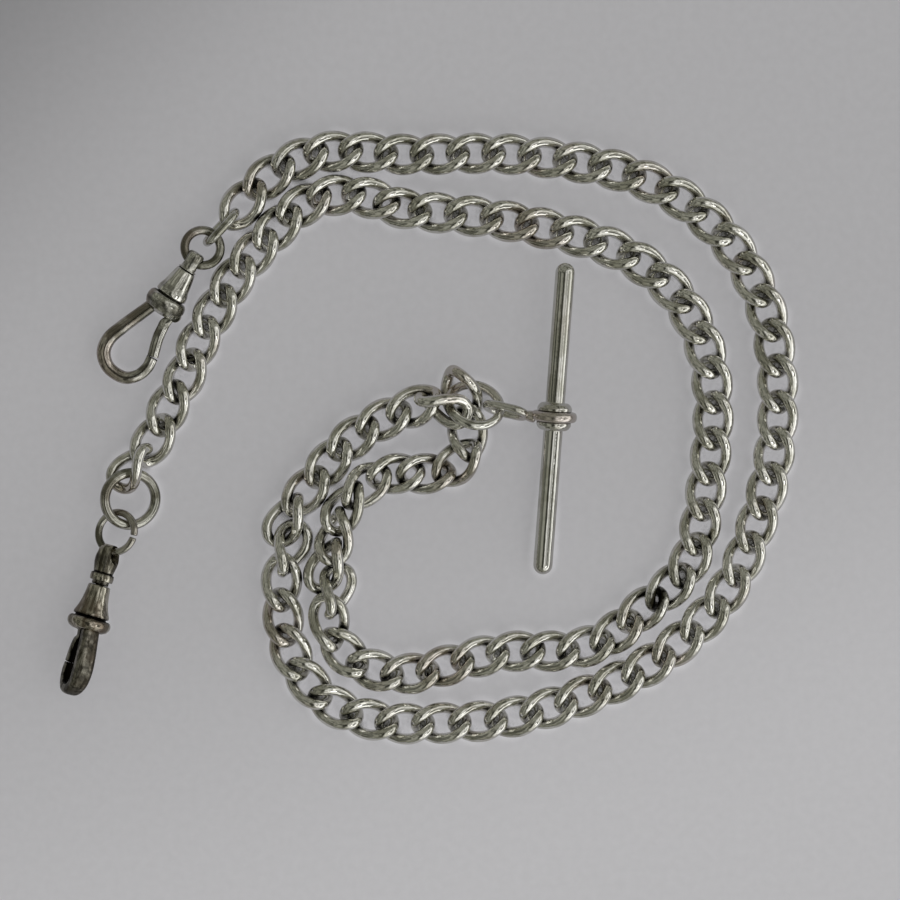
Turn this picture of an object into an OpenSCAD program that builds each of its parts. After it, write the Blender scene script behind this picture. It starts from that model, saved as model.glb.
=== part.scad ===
// Double albert watch chain, lying flat: two strands of curb links, two swivel clips and a bar.
// Millimetres, X to the right and Y away as it lies, Z up from the surface that it rests on.

/* [Links] */
// thickness of the curb links' wire
link_wire = 1.2; // [1.1:0.05:1.2]
// length of a curb link over its ends
link_len = 7.8; // [7.7:0.05:7.85]
// width of a curb link over its sides
link_wid = 5.2; // [5.1:0.05:5.25]
// twist of each end of a curb link out of its middle plane, degrees
link_twist = 54; // [50:1:56]
// roundness of a curb link's oval, 2 is an ellipse
link_round = 2.45; // [2.3:0.05:2.6]

/* [Rings] */
// middle radius of the oval clip's ring
ring_a_r = 2.34; // [2.25:0.01:2.4]
// thickness of that ring's wire
ring_a_wire = 1.1; // [1:0.05:1.15]
// middle radius of the large ring at the other clip
ring_b_r = 3.4; // [3.35:0.05:3.45]
// thickness of the large ring's wire
ring_b_wire = 1.3; // [1.2:0.05:1.35]
// middle radius of the open jump ring
jump_r = 2.6; // [2.58:0.01:2.62]
// thickness of the jump ring's wire
jump_wire = 0.95; // [0.9:0.05:1]
// opening of the jump ring, degrees of turn
jump_gap = 7; // [4:1:10]
// middle radius of the ring that joins the strands and the bar
centre_r = 3.4; // [3.35:0.05:3.45]
// thickness of that ring's wire
centre_wire = 1.2; // [1.1:0.05:1.25]

/* [Clips] */
// radius of a clip's bell where it meets the eye
bell_top_r = 1.3; // [1.25:0.05:1.4]
// radius of a clip's bell at its mouth
bell_mouth_r = 2.1; // [2:0.05:2.2]
// radius of a clip's flange
flange_r = 2.7; // [2.65:0.05:2.8]
// radius of the post that an eye turns on
post_r = 0.5; // [0.45:0.01:0.52]
// radial play of turning parts
play = 0.05; // [0.04:0.01:0.08]
// radius of a gate's hinge pin
hinge_r = 0.3; // [0.28:0.01:0.32]

/* [Bar] */
// radius of the bar
bar_r = 1.25; // [1.15:0.01:1.3]
// length of the bar over its round ends
bar_len = 40.6; // [38:0.1:43]
// radius of the turning band
band_r = 3; // [2.9:0.05:3]
// thickness of the turning band
band_t = 1.2; // [1:0.05:1.25]
// radius of the two fixed ridges
ridge_r = 2.2; // [2.1:0.05:2.3]

/* [Hidden] */
silver = [0.72, 0.72, 0.7];
grey_silver = [0.62, 0.62, 0.58];
dark_silver = [0.5, 0.5, 0.46];
link_sides = 12;
wire_sides = 6;
link_a = (link_len - link_wire) / 2;
link_b = (link_wid - link_wire) / 2;
// corners of the six sided wire stand just proud of the round one
wire_corner = link_wire / 2 * 1.04;
link_rest = wire_corner + max([for (t = [0:5:90]) abs(link_line(t).z)]);

// length of the plain oval link at clip a, its width and wire
oval_len = 6.5;
oval_wid = 4.8;
oval_wire = 1.1;
// height and wire of the bar's shank loop
shank_high = 4.2;
shank_wire = 1.05;
shank_roll = 105;
shank_drop = 9;
shank_long = 6.3;
head_gap = 0.05;
slot_half = 0.5;
slot_deep = 1.75;
gate_half = 0.45;
sweep_sides = 10;
bar_lean = -4.2;
bar_rise = 4.9;
bar_shift = 0.36;
ridge_in = 0.72;
ridge_out = 1.77;

// columns: x, y, z at the bell's mouth, yaw, pitch, roll about the clip's axis
clip_a_place = [-33.5, 18.3, 2.8, 236.8, -5, 0];
clip_b_place = [-43.8, -23.3, 2.95, 254.5, 4.5, -118];

// columns: bell length, top radius, mouth radius, flange length, flange radius, cavity radius
bell_a = [3.9, bell_top_r, bell_mouth_r, 2.5, flange_r, 1.12];
bell_b = [4.2, 1.45, 2.34, 1.8, 2.86, 1.12];

// columns: eye's length, radius, hole radius, hole's mouth radius, hole from the eye's end,
// turn about the clip's axis, collar radius, collar length, neck radius, neck length
eye_a = [2.45, 1.15, 0.78, 1.08, 1.4, 0, 1.25, 0.2, 1.1, 0.05];
eye_b = [3.9, 1.58, 0.8, 1.4, 1.05, 143, 1.56, 1, 1.1, 0.5];

// columns: distance along the clip, sideways, thickness in the hook's plane, thickness across it
hook_a = [
  [2, -1.3, 1.7, 2.2],
  [4.6, -2.35, 1.75, 2.2],
  [6.6, -3.15, 1.8, 2.2],
  [8.9, -3.85, 1.8, 2.1],
  [10.9, -3.45, 1.75, 2],
  [12.25, -1.7, 1.6, 1.8],
  [12.3, 0.6, 1.5, 1.7],
  [11.1, 2.05, 1.4, 1.6],
  [9.4, 2.62, 1.35, 1.5],
  [8, 2.48, 1.3, 1.4]
];
gate_a = [
  [3.2, 1.32, 1.3, 0.9],
  [4, 1.36, 1.3, 1.4],
  [5.6, 1.66, 1.3, 1.5],
  [7.83, 2.42, 1.25, 1.4]
];
hinge_a = [1.85, 2];
hook_b = [
  [1.4, -1.2, 1.6, 2.6],
  [3.4, -1.7, 1.6, 2.8],
  [5.2, -2.1, 1.6, 2.9],
  [7, -2.3, 1.6, 2.8],
  [8.6, -1.95, 1.5, 2.5],
  [9.6, -0.7, 1.4, 2.2],
  [9.55, 0.8, 1.35, 2],
  [8.7, 1.75, 1.3, 1.8],
  [7.5, 2.15, 1.3, 1.7],
  [6.4, 2.1, 1.3, 1.6]
];
gate_b = [
  [2.6, 1.45, 1.2, 0.9],
  [3.3, 1.5, 1.2, 1.5],
  [4.6, 1.75, 1.2, 1.7],
  [6.23, 2.08, 1.2, 1.6]
];
hinge_b = [1.2, 2.1];

// columns: link number, x, y, roll about the strand
outer_route = [
  [1, -24, 30.5, 0],
  [2, -20.7, 33.9, 0],
  [3, -16.7, 36.2, 0],
  [4, -12.4, 37.2, 0],
  [6, -3.2, 36.8, 0],
  [9, 10.8, 36.8, 0],
  [12, 24.5, 34.7, 0],
  [14, 33, 30.9, 0],
  [16, 39.8, 24.5, 0],
  [18, 44, 16.2, 0],
  [20, 45.4, 7, 0],
  [22, 44.9, -2.4, 0],
  [24, 42.6, -11.4, 0],
  [26, 38.8, -20, 0],
  [28, 32.4, -26.9, 0],
  [30, 24.4, -31.9, 0],
  [33, 11.1, -36.3, 0],
  [36, -3.1, -37.2, 0],
  [37, -7.7, -36.6, 0],
  [38, -12.1, -35, 0],
  [39, -15.6, -31.9, 0],
  [40, -17.9, -27.9, 0],
  [41, -18.9, -23.4, 0],
  [42, -19.1, -18.7, 0],
  [43, -17, -14.4, 0],
  [44, -18.8, -11, 0],
  [45, -15.9, -7, 0],
  [47, -9.8, -0.1, 0],
  [49, -1.7, 4, 0],
  [50, 1.9, 3.7, 0]
];

// columns: link number, x, y, roll about the strand
inner_route = [
  [1, -38.9, -4, 0],
  [2, -35.8, -0.4, 0],
  [4, -32, 8.1, 0],
  [7, -25.4, 20.4, 0],
  [9, -19.6, 27.3, 0],
  [10, -16.2, 30.2, 0],
  [11, -12, 31.5, 0],
  [12, -7.5, 31.1, 0],
  [13, -3.4, 29.8, 0],
  [16, 10.5, 28.1, 0],
  [19, 23.9, 24.6, 0],
  [21, 31.5, 19.4, 0],
  [23, 36, 11.4, 0],
  [25, 37, 2.2, 0],
  [28, 35.3, -11.6, 0],
  [29, 34, -16, 0],
  [30, 31.4, -19.5, 0],
  [31, 27.8, -22.4, 0],
  [32, 24.4, -25.3, 0],
  [33, 20.4, -27.2, 0],
  [34, 15.8, -27.8, 0],
  [35, 11.3, -27.8, 0],
  [36, 6.7, -28.5, 0],
  [38, -2.4, -30.7, 0],
  [39, -7, -30.2, 0],
  [40, -11, -27.9, 0],
  [41, -13, -23.9, 0],
  [42, -11.1, -19.6, 0],
  [43, -13.5, -16.7, 0],
  [44, -11.7, -12.8, 0],
  [45, -11.6, -8.8, 0],
  [46, -8.6, -5.9, 0],
  [47, -4.4, -4.6, 0],
  [48, -0.3, -4.7, 0],
  [49, 3.7, -3.5, 0],
  [50, 4.7, 0.4, 0],
  [51, 4.9, 5, 0]
];

// columns: strand, link number, x, y, z, yaw, pitch, roll
turned_links = [
  ["outer", 1, -24.1, 30.4, 1.9, 52, -4, 0],
  ["outer", 42, -19.1, -18.8, 1.75, 90, 0, 8],
  ["outer", 43, -17.95, -14.4, 2, 72, -16, 38],
  ["outer", 44, -18.5, -10.7, 1.95, 60, 10, -27],
  ["outer", 45, -15.95, -7, 1.7, 50, 0, 0],
  ["outer", 49, -1.8, 4, 2.3, 25, 14, -4],
  ["outer", 50, 1.9, 3.9, 3.9, -20, -6, 54],
  ["inner", 1, -38.6, -3.8, 2.3, 50, 18, -48],
  ["inner", 4, -31.66, 7.98, 1.61, 64.5, 0, 0],
  ["inner", 40, -10.95, -27.9, 1.84, 133, 0, 0],
  ["inner", 41, -12.82, -23.92, 2.75, 100, 6, 15],
  ["inner", 42, -12.05, -19.85, 2.7, 77, -24, 43],
  ["inner", 43, -13.2, -16.65, 2.42, 66, 10, -30],
  ["inner", 44, -12.1, -12.8, 2.5, 80, -5, -32],
  ["inner", 45, -10.9, -9.1, 2.4, 60, -2, -22],
  ["inner", 46, -8.23, -6.28, 2.6, 42, -15, 10],
  ["inner", 47, -4.3, -4.7, 1.95, 8, -8, 2.5],
  ["inner", 48, -0.35, -4.7, 1.75, 3, 0, -5],
  ["inner", 49, 3.85, -3.3, 2, 42, 12, -10],
  ["inner", 50, 5.1, 0.6, 1.72, 95, -5, 7],
  ["inner", 51, 4.2, 5.6, 1.85, 108, 8.5, -14]
];

function signed_power(v, p) = sign(v) * pow(abs(v), p);

function link_line(t) =
  let (x = signed_power(cos(t), 2 / link_round),
    y = link_b * signed_power(sin(t), 2 / link_round),
    turn = -link_twist * x)
  [link_a * x, y * cos(turn), y * sin(turn)];

function unit(v) = v / norm(v);

// corners of the wire round the link's line
link_corners = [for (i = [0:link_sides - 1])
  let (t = i * 360 / link_sides,
    p = link_line(t),
    along = unit(link_line(t + 360 / link_sides) - link_line(t - 360 / link_sides)),
    out = unit(p - (p * along) * along),
    side = cross(along, out))
  for (j = [0:wire_sides - 1])
    let (u = (j + 0.5) * 360 / wire_sides)
    p + wire_corner * (cos(u) * out + sin(u) * side)];

link_faces = [for (i = [0:link_sides - 1], j = [0:wire_sides - 1])
  let (i2 = (i + 1) % link_sides,
    j2 = (j + 1) % wire_sides,
    a = i * wire_sides + j,
    b = i * wire_sides + j2,
    c = i2 * wire_sides + j2,
    d = i2 * wire_sides + j)
  each [[a, c, b], [a, d, c]]];

function row_before(route, k) =
  max([for (i = [0:len(route) - 2]) if (i == 0 || route[i][0] <= k) i]);

function slope(route, i) =
  let (lo = route[max(i - 1, 0)],
    hi = route[min(i + 1, len(route) - 1)])
  [hi[1] - lo[1], hi[2] - lo[2]] / (hi[0] - lo[0]);

// smooth way through the rows of a route at link number k
function route_at(route, k) =
  let (i = row_before(route, k),
    p = route[i],
    q = route[i + 1],
    h = q[0] - p[0],
    t = (k - p[0]) / h)
  (2 * t ^ 3 - 3 * t ^ 2 + 1) * [p[1], p[2]] + (t ^ 3 - 2 * t ^ 2 + t) * h * slope(route, i)
  + (3 * t ^ 2 - 2 * t ^ 3) * [q[1], q[2]] + (t ^ 3 - t ^ 2) * h * slope(route, i + 1);

function roll_at(route, k) = lookup(k, [for (r = route) [r[0], r[3]]]);

function turned(strand, k) = [for (r = turned_links) if (r[0] == strand && r[1] == k) r];

// place of link k of a strand: x, y, z, yaw, pitch, roll
function link_place(route, strand, k) =
  let (row = turned(strand, k),
    p = route_at(route, k),
    d = route_at(route, k + 0.5) - route_at(route, k - 0.5))
  len(row) > 0
  ? [for (c = [2:7]) row[0][c]]
  : [p.x, p.y, link_rest, atan2(d.y, d.x), 0, roll_at(route, k)];

function spin_x(v, a) = [v.x, v.y * cos(a) - v.z * sin(a), v.y * sin(a) + v.z * cos(a)];
function spin_y(v, a) = [v.x * cos(a) + v.z * sin(a), v.y, v.z * cos(a) - v.x * sin(a)];
function spin_z(v, a) = [v.x * cos(a) - v.y * sin(a), v.x * sin(a) + v.y * cos(a), v.z];

function placed(v, place) =
  [place[0], place[1], place[2]] + spin_z(spin_y(spin_x(v, place[5]), -place[4]), place[3]);

module strand(route, name) {
  count = route[len(route) - 1][0];
  places = [for (k = [1:count]) link_place(route, name, k)];
  corners = len(link_corners);
  polyhedron(
    points = [for (place = places, v = link_corners) placed(v, place)],
    faces = [for (n = [0:count - 1], f = link_faces) [for (v = f) v + n * corners]],
    convexity = 10);
}

module chain_outer() {
  color(silver) strand(outer_route, "outer");
}

module chain_inner() {
  color(silver) strand(inner_route, "inner");
}

// smooth way through the rows of a table at place t, counted in rows
function along_rows(rows, t) =
  let (i = min(floor(t), len(rows) - 2),
    u = t - i,
    p = rows[i],
    q = rows[i + 1],
    lo = rows[max(i - 1, 0)],
    hi = rows[min(i + 2, len(rows) - 1)],
    m = (q - lo) / (i > 0 ? 2 : 1),
    n = (hi - p) / (i < len(rows) - 2 ? 2 : 1))
  (2 * u ^ 3 - 3 * u ^ 2 + 1) * p + (u ^ 3 - 2 * u ^ 2 + u) * m + (3 * u ^ 2 - 2 * u ^ 3) * q
  + (u ^ 3 - u ^ 2) * n;

// oval bar bent in the clip's plane through the rows of a table, with flat ends
module bent_bar(rows, steps) {
  last = (len(rows) - 1) * steps;
  row = [for (k = [0:last]) along_rows(rows, k / steps)];
  points = [for (k = [0:last])
    let (d = row[min(k + 1, last)] - row[max(k - 1, 0)],
      out = [-d.y, d.x] / norm([d.x, d.y]))
    for (j = [0:sweep_sides - 1])
      let (u = (j + 0.5) * 360 / sweep_sides,
        a = row[k][2] / 2 * cos(u),
        b = row[k][3] / 2 * sin(u))
      [row[k].x + a * out.x, row[k].y + a * out.y, b]];
  sides = [for (k = [0:last - 1], j = [0:sweep_sides - 1])
    let (j2 = (j + 1) % sweep_sides,
      a = k * sweep_sides + j,
      b = k * sweep_sides + j2)
    each [[a, b + sweep_sides, b], [a, a + sweep_sides, b + sweep_sides]]];
  start = [for (j = [0:sweep_sides - 1]) j];
  end = [for (j = [sweep_sides - 1:-1:0]) last * sweep_sides + j];
  polyhedron(points = points, faces = concat([start], sides, [end]), convexity = 6);
}

module ring(radius, wire, sweep = 360) {
  rotate_extrude(angle = sweep, $fn = 48)
    translate([radius, 0])
    circle(d = wire, $fn = 24);
}

// lay flat things on a slope that rises by gx along x and gy along y
module sloped(gx, gy) {
  rotate(a = atan(norm([gx, gy])), v = [gy, -gx, 0]) children();
}

// round wire bent to a long ring in the xy plane, its length along x
module long_ring(length, width, wire) {
  bend = (width - wire) / 2;
  straight = length - width;
  for (side = [-1, 1]) {
    translate([side * straight / 2, 0, 0])
      rotate([0, 0, -90 * side])
      rotate_extrude(angle = 180, $fn = 48)
      translate([bend, 0])
      circle(d = wire, $fn = 24);
    translate([-straight / 2, side * bend, 0])
      rotate([0, 90, 0])
      cylinder(h = straight, d = wire, $fn = 24);
  }
}

module at_clip(place) {
  translate([place[0], place[1], place[2]])
    rotate([0, 0, place[3]])
    rotate([0, -place[4], 0])
    rotate([place[5], 0, 0])
    children();
}

// solid turned about the clip's axis from points of radius and distance along it
module turned_on_axis(profile) {
  rotate([0, 90, 0]) rotate_extrude($fn = 48) polygon(profile);
}

// hole that opens out at both mouths, along y
module flared_hole(radius, mouth, reach) {
  for (side = [-1, 1])
    rotate([90 * side, 0, 0])
      translate([0, 0, -0.01])
      cylinder(h = reach + 0.01, r1 = radius, r2 = mouth, $fn = 32);
}

// post that turns in the bell, with its head, collar and drilled eye
module clip_eye(bell, eye) {
  top = -0.1 - bell[0];
  cavity = top + 0.9;
  neck = top - play - eye[9];
  collar = neck - eye[7];
  end = collar - eye[0];
  difference() {
    turned_on_axis([
      [0, end],
      [eye[1] * 0.5, end + 0.04],
      [eye[1] * 0.78, end + eye[0] * 0.08],
      [eye[1] * 0.95, end + eye[0] * 0.22],
      [eye[1], end + eye[0] * 0.42],
      [eye[1] * 0.97, end + eye[0] * 0.65],
      [eye[1] * 0.86, end + eye[0] * 0.88],
      [eye[1] * 0.8, collar],
      [eye[6] - 0.08, collar],
      [eye[6], collar + eye[7] / 2],
      [eye[6] - 0.08, neck],
      [eye[8], neck],
      [eye[8], top - play],
      [post_r, top - play],
      [post_r, cavity + head_gap],
      [0.9, cavity + head_gap],
      [0.9, cavity + 0.8],
      [0, cavity + 0.8]]);
    translate([end + eye[4], 0, 0])
      rotate([eye[5], 0, 0])
      flared_hole(eye[2], eye[3], eye[1]);
  }
}

// bell with its sealed cavity, groove and rounded flange
module clip_bell(bell) {
  top = -0.1 - bell[0];
  grip = bell[2] - 0.3;
  rim = bell[3];
  wide = bell[4];
  turned_on_axis([
    [post_r + play, top],
    [bell[1] - 0.15, top],
    [bell[1], top + 0.15],
    [bell[1] + 0.2, top + bell[0] * 0.3],
    [bell[1] + 0.5, top + bell[0] * 0.65],
    [bell[2], -0.4],
    [bell[2], -0.2],
    [bell[2] - 0.1, -0.12],
    [grip, -0.12],
    [grip, 0.12],
    [wide * 0.86, 0.12],
    [wide * 0.96, 0.12 + rim * 0.12],
    [wide, 0.12 + rim * 0.32],
    [wide * 0.98, 0.12 + rim * 0.55],
    [wide * 0.87, 0.12 + rim * 0.8],
    [wide * 0.68, 0.12 + rim * 0.94],
    [wide * 0.4, 0.12 + rim],
    [0, 0.12 + rim],
    [0, top + 2.5],
    [bell[5], top + 2.5],
    [bell[5], top + 0.9],
    [post_r + play, top + 0.9]]);
}

// bell and hook in one, slotted for the gate, with the gate's hinge pin across the slot
module clip_barrel(bell, hook, hinge) {
  difference() {
    clip_bell(bell);
    translate([hinge.x - 0.85, hinge.y - slot_deep, -slot_half])
      cube([4, 4, 2 * slot_half]);
  }
  bent_bar(hook, 3);
  translate([hinge.x, hinge.y, -1.3]) cylinder(h = 2.6, r = hinge_r, $fn = 24);
}

// gate with its knuckle round the hinge pin
module clip_gate(rows, hinge) {
  difference() {
    union() {
      translate([hinge.x, hinge.y, -gate_half]) cylinder(h = 2 * gate_half, r = 0.75, $fn = 32);
      bent_bar(concat([[hinge.x + 0.35, hinge.y - 0.3, 0.9, 0.9]], rows), 2);
    }
    translate([hinge.x, hinge.y, -1]) cylinder(h = 2, r = hinge_r + play, $fn = 24);
  }
}

module at_bar() {
  translate([16.3, 2.73, 3])
    rotate([0, 0, bar_lean])
    rotate([bar_rise - 90, 0, 0])
    children();
}

module clip_a_link() {
  color(silver)
    translate([-26.9, 27.3, 2.45])
    rotate([0, 0, 227])
    rotate([78, 0, 0])
    long_ring(oval_len, oval_wid, oval_wire);
}

module clip_a_ring() {
  color(silver) translate([-29.3, 24.6, 2.65]) sloped(-0.17, -0.15) ring(ring_a_r, ring_a_wire);
}

module clip_a_eye() {
  color(silver) at_clip(clip_a_place) clip_eye(bell_a, eye_a);
}

module clip_a_barrel() {
  color(silver) at_clip(clip_a_place) clip_barrel(bell_a, hook_a, hinge_a);
}

module clip_a_gate() {
  color(silver) at_clip(clip_a_place) clip_gate(gate_a, hinge_a);
}

module clip_b_ring_large() {
  color(grey_silver) translate([-38.74, -8, 1.94]) sloped(-0.38, 0.1) ring(ring_b_r, ring_b_wire);
}

module clip_b_ring_small() {
  color(grey_silver)
    translate([-40.52, -12.3, 2.17])
    sloped(0.42, -0.2)
    rotate([0, 0, -14 + jump_gap / 2])
    ring(jump_r, jump_wire, 360 - jump_gap);
}

module clip_b_eye() {
  color(dark_silver) at_clip(clip_b_place) clip_eye(bell_b, eye_b);
}

module clip_b_barrel() {
  color(dark_silver) at_clip(clip_b_place) clip_barrel(bell_b, hook_b, hinge_b);
}

module clip_b_gate() {
  color(dark_silver) at_clip(clip_b_place) clip_gate(gate_b, hinge_b);
}

module centre_ring() {
  color(silver) translate([6, 4.2, 2.9]) sloped(-0.25, -0.8) ring(centre_r, centre_wire);
}

// band that turns on the bar, with the shank loop soldered to it
module bar_collar() {
  color(silver) {
    at_bar()
      rotate_extrude($fn = 48)
      polygon([
        [bar_r + play, -band_t / 2],
        [band_r - 0.4, -band_t / 2],
        [band_r - 0.1, -band_t / 4],
        [band_r, 0],
        [band_r - 0.1, band_t / 4],
        [band_r - 0.4, band_t / 2],
        [bar_r + play, band_t / 2]]);
    translate([13.1, 2.8, 2.95]) rotate([0, 0, 166.5]) rotate([0, shank_drop, 0]) {
      translate([shank_long / 2, 0, 0])
        rotate([shank_roll, 0, 0])
        long_ring(shank_long, shank_high, shank_wire);
      rotate([0, -90, 0]) translate([0, 0, -0.7]) cylinder(h = 1.5, r1 = 0.75, r2 = 0.5, $fn = 24);
    }
  }
}

module ridge() {
  translate([0, 0, ridge_in])
    rotate_extrude($fn = 48)
    polygon([
      [0, 0],
      [ridge_r - 0.15, 0],
      [ridge_r, 0.2],
      [ridge_r - 0.1, ridge_out - ridge_in - 0.15],
      [ridge_r - 0.35, ridge_out - ridge_in],
      [0, ridge_out - ridge_in]]);
}

module t_bar() {
  color(silver)
    at_bar() {
      translate([0, 0, -bar_shift])
        rotate_extrude($fn = 48)
        intersection() {
          union() {
            for (side = [-1, 1])
              translate([0, side * (bar_len / 2 - bar_r)]) circle(r = bar_r, $fn = 48);
            translate([0, bar_r - bar_len / 2]) square([bar_r, bar_len - 2 * bar_r]);
          }
          translate([0, -bar_len / 2]) square([bar_r, bar_len]);
        }
      ridge();
      mirror([0, 0, 1]) ridge();
    }
}

chain_outer();
chain_inner();
clip_a_link();
clip_a_ring();
clip_a_eye();
clip_a_barrel();
clip_a_gate();
clip_b_ring_large();
clip_b_ring_small();
clip_b_eye();
clip_b_barrel();
clip_b_gate();
centre_ring();
bar_collar();
t_bar();
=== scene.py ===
import math

import bmesh
import bpy
import numpy as np
from mathutils import Matrix, Vector


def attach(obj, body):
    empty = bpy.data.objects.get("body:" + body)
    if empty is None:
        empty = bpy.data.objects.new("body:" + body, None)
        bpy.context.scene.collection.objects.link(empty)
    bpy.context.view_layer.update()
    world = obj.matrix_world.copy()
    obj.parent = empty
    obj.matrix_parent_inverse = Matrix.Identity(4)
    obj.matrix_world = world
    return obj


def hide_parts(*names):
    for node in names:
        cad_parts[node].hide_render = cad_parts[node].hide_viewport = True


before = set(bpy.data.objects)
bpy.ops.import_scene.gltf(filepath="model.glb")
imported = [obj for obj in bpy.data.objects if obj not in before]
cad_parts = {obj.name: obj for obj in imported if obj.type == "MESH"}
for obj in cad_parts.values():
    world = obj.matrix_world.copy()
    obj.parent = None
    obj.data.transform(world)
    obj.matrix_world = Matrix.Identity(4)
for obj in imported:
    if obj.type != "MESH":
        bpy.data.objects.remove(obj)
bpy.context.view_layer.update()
MM = 0.001


# The two strands are plain curb chain: 101 links bent from round silver wire, each end of a
# link twisted out of flat so that the links lie side by side. Every link is soldered shut.
# Long use has rubbed the outsides bright; where the links touch they are darkened, as grime and as
# painted shade.
LINK = {"length": 6.6, "width": 4.02, "wire": 1.42, "twist": 54, "round": 2.45}
LINK_STEPS = 60
WIRE_SIDES = 20
STRANDS = {"outer_strand": "chain_outer", "inner_strand": "chain_inner"}
NEIGHBOUR_REACH = 9 * MM
# How far from a neighbour a link is darkened, as grime and painted shade.
GRIME_AND_SHADE_REACH = 1.05 * MM
# Patches of painted shade where shadow lies deep in the strands' crevices: x and y in millimetres,
# reach and strength. They fill the crevices out to the depth below times the darkening's reach.
SHADE_PATCHES = [(29.6, -20.8, 2.7, 1), (32.4, -18, 2, 0.7), (-19.1, 35.2, 2.4, 0.6)]
SHADE_PATCH_EDGE = 1.5
SHADE_PATCH_DEPTH = 1.75
SILVER = {
    "Clean": (0.87, 0.86, 0.815, 1),
    "Dull": (0.4, 0.39, 0.305, 1),
    "Bloom": (0.6, 0.5, 0.44, 1),
    # Near-black laid in where the recess value is high: grime, and painted shade in crevices.
    "Grime": (0.022, 0.02, 0.012, 1),
    "Dulling": 0.55,
    "Blooming": 0.4,
    "Streaks": 0.0,
    "Grain": 900.0,
    "Polish": 0.06,
}


class NodeBench:
    """Adds nodes to one tree. Each value given is another node's socket, or plain."""

    def __init__(self, tree):
        self.nodes, self.links = tree.nodes, tree.links

    def feed(self, socket, value):
        if isinstance(value, bpy.types.NodeSocket):
            self.links.new(value, socket)
        else:
            socket.default_value = value

    def maths(self, operation, *values, clamp=False):
        node = self.nodes.new("ShaderNodeMath")
        node.operation, node.use_clamp = operation, clamp
        for socket, value in zip(node.inputs, values):
            self.feed(socket, value)
        return node.outputs[0]

    def ranged(self, value, low, high, out_low=0, out_high=1, kind="SMOOTHSTEP"):
        """Takes the values from low to high to another range."""
        node = self.nodes.new("ShaderNodeMapRange")
        node.interpolation_type = kind
        names = ["Value", "From Min", "From Max", "To Min", "To Max"]
        for name, number in zip(names, [value, low, high, out_low, out_high]):
            self.feed(node.inputs[name], number)
        return node.outputs["Result"]

    def mixed(self, share, first, second):
        """A colour between two others."""
        node = self.nodes.new("ShaderNodeMix")
        node.data_type = "RGBA"
        for name, value in zip(["Factor", "A", "B"], [share, first, second]):
            self.feed(node.inputs[name], value)
        return node.outputs["Result"]

    def noise(self, place, scale, detail, stretch=None):
        """Cloudy values, drawn out along the ways where stretch is small."""
        if stretch:
            mapping = self.nodes.new("ShaderNodeMapping")
            self.feed(mapping.inputs["Vector"], place)
            self.feed(mapping.inputs["Scale"], stretch)
            place = mapping.outputs["Vector"]
        texture = self.nodes.new("ShaderNodeTexNoise")
        for name, value in zip(["Vector", "Scale", "Detail"], [place, scale, detail]):
            self.feed(texture.inputs[name], value)
        return texture.outputs["Fac"]

    def along(self, place, way):
        """How far a place lies along a way."""
        node = self.nodes.new("ShaderNodeVectorMath")
        node.operation = "DOT_PRODUCT"
        self.feed(node.inputs[0], place)
        self.feed(node.inputs[1], way)
        return node.outputs["Value"]


def worn_silver_group():
    """Colour, roughness and fine relief of silver that has been worn for years, with grime and
    painted shade laid in where the recess value is high.
    """
    tree = bpy.data.node_groups.new("worn_silver", "ShaderNodeTree")
    for name, kind in [
        ("Clean", "NodeSocketColor"),
        ("Dull", "NodeSocketColor"),
        ("Bloom", "NodeSocketColor"),
        ("Grime", "NodeSocketColor"),
        ("Dulling", "NodeSocketFloat"),
        ("Blooming", "NodeSocketFloat"),
        ("Streaks", "NodeSocketFloat"),
        ("Grain", "NodeSocketFloat"),
        ("Polish", "NodeSocketFloat"),
        ("Recess", "NodeSocketFloat"),
    ]:
        tree.interface.new_socket(name, in_out="INPUT", socket_type=kind)
    for name, kind in [
        ("Colour", "NodeSocketColor"),
        ("Roughness", "NodeSocketFloat"),
        ("Relief", "NodeSocketFloat"),
    ]:
        tree.interface.new_socket(name, in_out="OUTPUT", socket_type=kind)
    given = tree.nodes.new("NodeGroupInput").outputs
    result = tree.nodes.new("NodeGroupOutput").inputs
    own_place = tree.nodes.new("ShaderNodeAttribute")
    own_place.attribute_name = "own_place"
    place = own_place.outputs["Vector"]
    bench = NodeBench(tree)

    clouds = bench.ranged(bench.noise(place, 330, 4), 0.46, 0.62)
    dulled = bench.maths("MULTIPLY", clouds, given["Dulling"])
    streaks = bench.ranged(bench.noise(place, 2000, 3, (0.1, 1, 1)), 0.44, 0.6)
    streaks = bench.maths("MULTIPLY", streaks, given["Streaks"])
    dulled = bench.maths("MAXIMUM", dulled, streaks)
    pink = bench.ranged(bench.noise(place, 120, 3), 0.5, 0.68)
    pink = bench.maths("MULTIPLY", pink, given["Blooming"])
    specks = bench.ranged(bench.noise(place, 1500, 2), 0.42, 0.66)
    # Where the recess value is high the near-black goes in: grime, and painted shade in crevices
    # and under parts.
    grime_and_shade_share = bench.maths("ADD", given["Recess"], bench.maths("MULTIPLY", specks, 0.5))
    grime_and_shade_share = bench.maths("MULTIPLY", grime_and_shade_share, given["Recess"], clamp=True)
    colour = bench.mixed(dulled, given["Clean"], given["Dull"])
    colour = bench.mixed(pink, colour, given["Bloom"])
    bench.feed(result["Colour"], bench.mixed(grime_and_shade_share, colour, given["Grime"]))

    rough = bench.maths("ADD", given["Polish"], bench.maths("MULTIPLY", dulled, 0.1))
    rough = bench.maths("ADD", rough, bench.maths("MULTIPLY", grime_and_shade_share, 0.3))
    scuffs = bench.ranged(bench.noise(place, 2600, 2, (1, 0.25, 1)), 0.5, 0.75, 0, 0.08)
    bench.feed(result["Roughness"], bench.maths("ADD", rough, scuffs))

    fine = bench.maths("MULTIPLY", bench.noise(place, given["Grain"], 3), 0.25)
    dents = bench.noise(place, 620, 2)
    bench.feed(result["Relief"], bench.maths("ADD", fine, dents))
    return tree


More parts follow.
